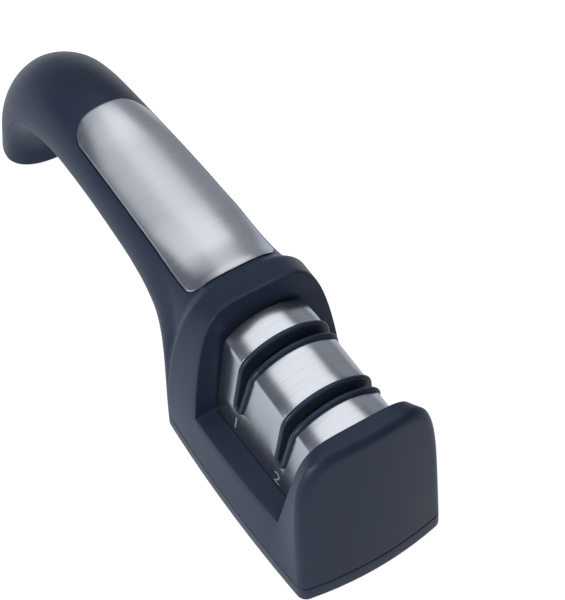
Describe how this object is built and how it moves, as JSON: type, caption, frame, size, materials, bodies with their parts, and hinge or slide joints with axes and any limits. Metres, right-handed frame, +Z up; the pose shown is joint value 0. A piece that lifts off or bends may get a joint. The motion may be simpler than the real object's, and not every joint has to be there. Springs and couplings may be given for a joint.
{
  "type": "two-stage handheld knife sharpener",
  "caption": "Two-stage pull-through knife sharpener with an arched handle, a slotted steel cover over two pairs of wheels, and rubber pads under its block and foot.",
  "frame": {"origin": "on the table, under the middle of the sharpener's bounding box", "axes": "+X out of the front face of the block, away from the handle; +Y to the sharpener's left, along a blade in its slot; +Z up"},
  "size_m": [0.2287, 0.0568, 0.068],
  "materials": {
    "soft_touch_plastic": "matte",
    "black_plastic": "satin",
    "brushed_steel": "satin",
    "axle_steel": "polished",
    "diamond_steel": "matte",
    "fine_ceramic": "matte",
    "rubber": "matte",
    "zinc_screw": "satin"
  },
  "bodies": {
    "housing": {"body_shell": "soft_touch_plastic", "handle_underside_cover": "soft_touch_plastic", "base_plate": "soft_touch_plastic", "handle_plate": "brushed_steel", "module_cover": "brushed_steel", "module_body": "black_plastic", "axle_keeper": "black_plastic", "wheel_axle": "axle_steel", "spacer_front": "black_plastic", "spacer_middle_front": "black_plastic", "spacer_middle_rear": "black_plastic", "spacer_rear": "black_plastic", "base_pad": "rubber", "foot_pad": "rubber", "base_screw_1": "zinc_screw", "module_screw_1": "zinc_screw", "base_screw_2": "zinc_screw", "module_screw_2": "zinc_screw", "base_screw_3": "zinc_screw", "module_screw_3": "zinc_screw", "base_screw_4": "zinc_screw", "module_screw_4": "zinc_screw", "cover_screw_1": "zinc_screw", "cover_screw_2": "zinc_screw"},
    "coarse_wheels": {"coarse_wheel_rear": "diamond_steel", "coarse_wheel_front": "diamond_steel"},
    "fine_wheels": {"fine_wheel_rear": "fine_ceramic", "fine_wheel_front": "fine_ceramic"}
  },
  "joints": [
    {"name": "coarse_wheels_spin", "type": "hinge", "parent": "housing", "child": "coarse_wheels", "pos_m": [0.0626, 0, 0.0405], "axis": [1, 0, 0], "continuous": true},
    {"name": "fine_wheels_spin", "type": "hinge", "parent": "housing", "child": "fine_wheels", "pos_m": [0.0858, 0, 0.0405], "axis": [1, 0, 0], "continuous": true}
  ]
}
